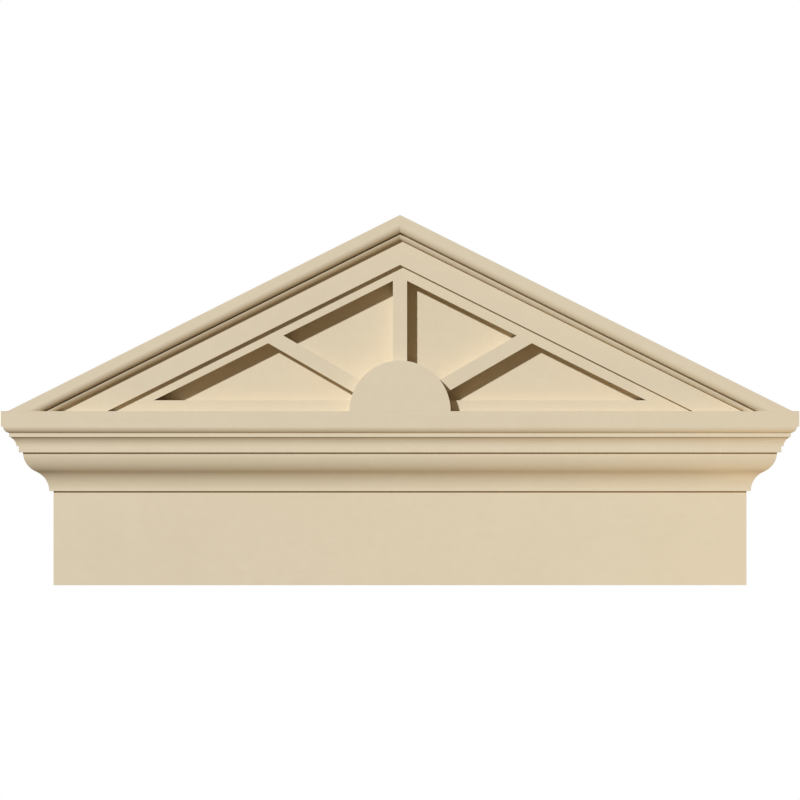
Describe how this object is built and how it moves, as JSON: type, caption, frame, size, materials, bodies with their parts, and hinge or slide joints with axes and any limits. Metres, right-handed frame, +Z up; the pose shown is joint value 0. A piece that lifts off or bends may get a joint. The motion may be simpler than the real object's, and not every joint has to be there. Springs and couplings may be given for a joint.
{
  "type": "classical pediment",
  "caption": "Gabled crosshead that fixes to a wall over a door or window: plain frieze, ogee crown, moulded cornice, and a low pediment with sunburst fretwork on a plank.",
  "frame": {"origin": "middle of the back lower edge of the frieze board, on the face that lies on the wall", "axes": "+X along the frieze to the right as seen from the front, +Y into the wall, +Z up"},
  "size_m": [1.3876, 0.1016, 0.6475],
  "materials": {
    "tan_primer": "satin tan primer, faintly mottled"
  },
  "bodies": {
    "root": {"frieze_board": "tan_primer", "crown_front": "tan_primer", "crown_return_left": "tan_primer", "crown_return_right": "tan_primer", "cornice_front": "tan_primer", "cornice_return_left": "tan_primer", "cornice_return_right": "tan_primer", "gable_base": "tan_primer", "back_panel": "tan_primer", "fretwork": "tan_primer", "hub": "tan_primer", "rake_band_left": "tan_primer", "rake_band_right": "tan_primer", "rake_cap_left": "tan_primer", "rake_cap_right": "tan_primer"}
  },
  "joints": []
}
